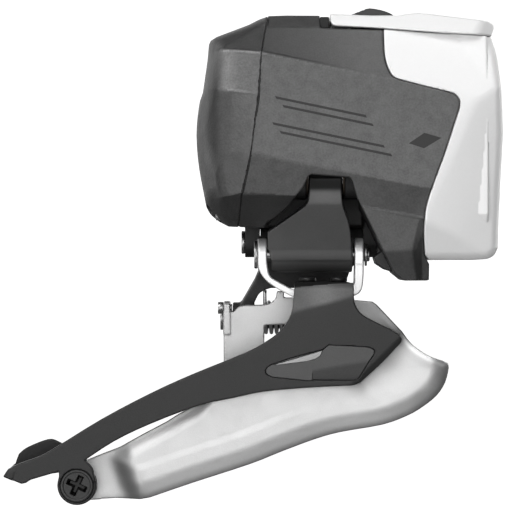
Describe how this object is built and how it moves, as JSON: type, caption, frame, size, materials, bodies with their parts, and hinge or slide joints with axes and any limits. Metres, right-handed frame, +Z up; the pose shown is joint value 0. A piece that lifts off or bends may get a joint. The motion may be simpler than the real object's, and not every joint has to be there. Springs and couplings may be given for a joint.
{
  "type": "bicycle front derailleur",
  "caption": "Electric bicycle front derailleur: a sealed motor unit with a removable battery moves a two-plate chain cage sideways on parallelogram links.",
  "frame": {"origin": "mouth of the M5 hole that bolts the derailleur to the bicycle's braze-on tab, at the crown of its curved seat", "axes": "+X towards the front of the bicycle, +Y inboard towards the seat tube, so -Y is the outboard side that is usually seen, +Z up"},
  "size_m": [0.1095, 0.0345, 0.1094],
  "materials": {
    "housing_plastic": "fine moulded texture",
    "cap_plastic": "fine moulded texture",
    "gasket_rubber": "matte",
    "small_screw_steel": "plated",
    "knuckle_aluminium": "black anodised",
    "bush_bronze": "oiled",
    "pin_steel": "polished",
    "clip_steel": "phosphated",
    "gearbox_steel": "stamped",
    "motor_steel": "rolled",
    "board_green": "solder mask",
    "chip_black": "moulded",
    "contact_black": "moulded",
    "contact_gold": "gold plated",
    "lens_clear": "polished",
    "link_aluminium": "dark anodised, blasted",
    "gear_brass": "hobbed",
    "gear_nylon": "moulded",
    "inner_link_aluminium": "black anodised",
    "cage_silver": "bead blasted, clear anodised",
    "fork_silver": "polished edges",
    "arm_black": "matte",
    "inlay_grey": "satin",
    "screw_black": "black plated",
    "spacer_steel": "turned",
    "spring_steel": "drawn wire",
    "battery_white": "satin",
    "cell_wrap": "shrink wrap",
    "latch_black": "fine texture",
    "button_black": "matte"
  },
  "bodies": {
    "drive_unit": {"main_housing": "housing_plastic", "rear_cap": "cap_plastic", "housing_gasket": "gasket_rubber", "cap_screws": "small_screw_steel", "knuckle": "knuckle_aluminium", "knuckle_screws": "small_screw_steel", "shaft_bushes": "bush_bronze", "shaft_seal": "gasket_rubber", "inner_link_pin": "pin_steel", "inner_pin_clips": "clip_steel", "gearbox_frame": "gearbox_steel", "gear_pins": "pin_steel", "motor_can": "motor_steel", "circuit_board": "board_green", "board_chips": "chip_black", "contact_block": "contact_black", "contact_pins": "contact_gold", "status_lens": "lens_clear"},
    "driven_link": {"outer_link": "link_aluminium", "drive_shaft": "pin_steel", "sector_gear": "gear_brass"},
    "idle_link": {"inner_link": "inner_link_aluminium"},
    "cage": {"cage_fork": "fork_silver", "cage_rivets": "screw_black", "outer_cage_arm": "arm_black", "arm_inlay": "inlay_grey", "outer_cage_plate": "cage_silver", "inner_cage_plate": "cage_silver", "tail_screw": "screw_black", "tail_spacer": "spacer_steel", "outer_link_pin": "pin_steel", "cage_pin": "pin_steel", "cage_pin_clips": "clip_steel", "spring_bush": "contact_black", "return_spring": "spring_steel", "stop_screw": "pin_steel"},
    "second_gear": {"gear_b": "gear_nylon"},
    "first_gear": {"gear_a": "gear_nylon"},
    "rotor": {"motor_shaft": "pin_steel", "motor_pinion": "gear_brass"},
    "battery": {"battery_case": "battery_white", "battery_lid": "battery_white", "battery_cells": "cell_wrap", "battery_terminals": "contact_gold", "latch_pin": "pin_steel"},
    "latch": {"battery_latch": "latch_black"},
    "button": {"mode_button": "button_black"}
  },
  "joints": [
    {"name": "driven_link_swing", "type": "hinge", "parent": "drive_unit", "child": "driven_link", "pos_m": [0.003, -0.02, 0.0041], "axis": [-1, 0, 0], "range_deg": [0, 24]},
    {"name": "idle_link_swing", "type": "hinge", "parent": "drive_unit", "child": "idle_link", "pos_m": [0, -0.007, -0.0101], "axis": [-1, 0, 0], "range_deg": [0, 24]},
    {"name": "cage_swing", "type": "hinge", "parent": "driven_link", "child": "cage", "pos_m": [0, -0.01638, -0.01292], "axis": [-1, 0, 0], "range_deg": [-24, 0], "deforming": ["return_spring"]},
    {"name": "second_gear_turn", "type": "hinge", "parent": "drive_unit", "child": "second_gear", "pos_m": [-0.008, -0.02, 0.0161], "axis": [-1, 0, 0], "range_deg": [-96, 0]},
    {"name": "first_gear_turn", "type": "hinge", "parent": "drive_unit", "child": "first_gear", "pos_m": [-0.012, -0.01449, 0.02396], "axis": [-1, 0, 0], "range_deg": [0, 288]},
    {"name": "rotor_turn", "type": "hinge", "parent": "drive_unit", "child": "rotor", "pos_m": [-0.014, -0.02236, 0.02947], "axis": [-1, 0, 0], "range_deg": [-864, 0]},
    {"name": "battery_slide", "type": "slide", "parent": "drive_unit", "child": "battery", "axis": [1, 0, 0], "range_m": [0, 0.05]},
    {"name": "latch_lift", "type": "hinge", "parent": "battery", "child": "latch", "pos_m": [0.0174, -0.018, 0.0383], "axis": [0, 1, 0], "range_deg": [0, 25], "stiffness_Nm_per_rad": 0.02, "springref_deg": -11.46},
    {"name": "button_press", "type": "slide", "parent": "drive_unit", "child": "button", "axis": [0, 0, -1], "range_m": [0, 0.0008], "stiffness_N_per_m": 800, "springref_m": -0.0008}
  ],
  "couplings": [
    {"joint": "idle_link_swing", "follows": "driven_link_swing", "ratio": 1},
    {"joint": "cage_swing", "follows": "driven_link_swing", "ratio": -1},
    {"joint": "second_gear_turn", "follows": "driven_link_swing", "ratio": -4},
    {"joint": "first_gear_turn", "follows": "driven_link_swing", "ratio": 12},
    {"joint": "rotor_turn", "follows": "driven_link_swing", "ratio": -36}
  ]
}
